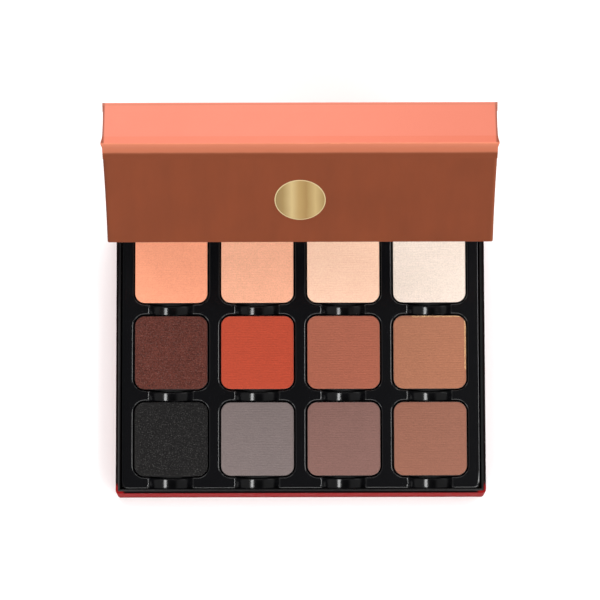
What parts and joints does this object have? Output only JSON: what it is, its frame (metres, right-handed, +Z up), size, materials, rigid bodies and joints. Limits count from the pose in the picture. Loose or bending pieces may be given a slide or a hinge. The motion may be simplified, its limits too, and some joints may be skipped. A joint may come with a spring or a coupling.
{
  "type": "eyeshadow palette",
  "caption": "Flat paper-wrapped board case with a mirror lid, a folding front wall and closing flap, and lift-out pans of pressed powder in a moulded insert.",
  "frame": {"origin": "centre of the base's underside, where it rests on the table", "axes": "+X to the right of someone using it, +Y back to the lid's hinge, +Z up"},
  "size_m": [0.1, 0.0923, 0.095],
  "materials": {
    "red_paper": "satin",
    "black_paper": "matte",
    "coral_paper": "satin",
    "tan_paper": "satin",
    "brown_paper": "satin",
    "grey_board": "matte",
    "insert_plastic": "gloss",
    "tin": "satin",
    "magnet": "satin",
    "pad_foam": "matte",
    "mirror_glass": "polished",
    "foil": "satin",
    "powder_1": "matte",
    "powder_2": "matte",
    "powder_3": "matte",
    "powder_4": "matte",
    "powder_5": "matte",
    "powder_6": "matte",
    "powder_7": "matte",
    "powder_8": "matte",
    "powder_9": "matte",
    "powder_10": "matte",
    "powder_11": "matte",
    "powder_12": "matte"
  },
  "bodies": {
    "base": {"base_sheet": "red_paper", "base_bottom": "grey_board", "base_walls": "grey_board", "base_wrap": "red_paper", "base_lining": "black_paper", "insert_tray": "insert_plastic", "pan_magnets": "magnet", "catch_plates": "tin", "spine_paper": "red_paper"},
    "lid": {"lid_board": "grey_board", "lid_wrap": "coral_paper", "lid_liner": "black_paper", "mirror_pad": "pad_foam", "mirror": "mirror_glass"},
    "front_wall": {"wall_board": "grey_board", "wall_wrap": "coral_paper", "wall_liner": "black_paper"},
    "flap": {"crease_paper": "tan_paper", "crease_lining": "black_paper", "flap_board": "grey_board", "flap_wrap": "brown_paper", "flap_liner": "black_paper", "flap_magnets": "magnet", "foil_oval": "foil"},
    "pan_1": {"godet_1": "tin", "powder_1": "powder_1"},
    "pan_2": {"godet_2": "tin", "powder_2": "powder_2"},
    "pan_3": {"godet_3": "tin", "powder_3": "powder_3"},
    "pan_4": {"godet_4": "tin", "powder_4": "powder_4"},
    "pan_5": {"godet_5": "tin", "powder_5": "powder_5"},
    "pan_6": {"godet_6": "tin", "powder_6": "powder_6"},
    "pan_7": {"godet_7": "tin", "powder_7": "powder_7"},
    "pan_8": {"godet_8": "tin", "powder_8": "powder_8"},
    "pan_9": {"godet_9": "tin", "powder_9": "powder_9"},
    "pan_10": {"godet_10": "tin", "powder_10": "powder_10"},
    "pan_11": {"godet_11": "tin", "powder_11": "powder_11"},
    "pan_12": {"godet_12": "tin", "powder_12": "powder_12"}
  },
  "joints": [
    {"name": "lid_hinge", "type": "hinge", "parent": "base", "child": "lid", "pos_m": [0, 0.0385, 0.01226], "axis": [-1, 0, 0], "range_deg": [-100, 10]},
    {"name": "wall_crease", "type": "hinge", "parent": "lid", "child": "front_wall", "pos_m": [0, 0.0536, 0.08961], "axis": [-1, 0, 0], "range_deg": [-15, 75]},
    {"name": "flap_fold", "type": "hinge", "parent": "front_wall", "child": "flap", "pos_m": [0, 0.04245, 0.09481], "axis": [1, 0, 0], "range_deg": [-174, 19]},
    {"name": "pan_lift_1", "type": "slide", "parent": "base", "child": "pan_1", "axis": [0, 0, 1], "range_m": [0, 0.012]},
    {"name": "pan_lift_2", "type": "slide", "parent": "base", "child": "pan_2", "axis": [0, 0, 1], "range_m": [0, 0.012]},
    {"name": "pan_lift_3", "type": "slide", "parent": "base", "child": "pan_3", "axis": [0, 0, 1], "range_m": [0, 0.012]},
    {"name": "pan_lift_4", "type": "slide", "parent": "base", "child": "pan_4", "axis": [0, 0, 1], "range_m": [0, 0.012]},
    {"name": "pan_lift_5", "type": "slide", "parent": "base", "child": "pan_5", "axis": [0, 0, 1], "range_m": [0, 0.012]},
    {"name": "pan_lift_6", "type": "slide", "parent": "base", "child": "pan_6", "axis": [0, 0, 1], "range_m": [0, 0.012]},
    {"name": "pan_lift_7", "type": "slide", "parent": "base", "child": "pan_7", "axis": [0, 0, 1], "range_m": [0, 0.012]},
    {"name": "pan_lift_8", "type": "slide", "parent": "base", "child": "pan_8", "axis": [0, 0, 1], "range_m": [0, 0.012]},
    {"name": "pan_lift_9", "type": "slide", "parent": "base", "child": "pan_9", "axis": [0, 0, 1], "range_m": [0, 0.012]},
    {"name": "pan_lift_10", "type": "slide", "parent": "base", "child": "pan_10", "axis": [0, 0, 1], "range_m": [0, 0.012]},
    {"name": "pan_lift_11", "type": "slide", "parent": "base", "child": "pan_11", "axis": [0, 0, 1], "range_m": [0, 0.012]},
    {"name": "pan_lift_12", "type": "slide", "parent": "base", "child": "pan_12", "axis": [0, 0, 1], "range_m": [0, 0.012]}
  ],
  "couplings": [
    {"joint": "flap_fold", "follows": "lid_hinge", "ratio": 1.725}
  ]
}
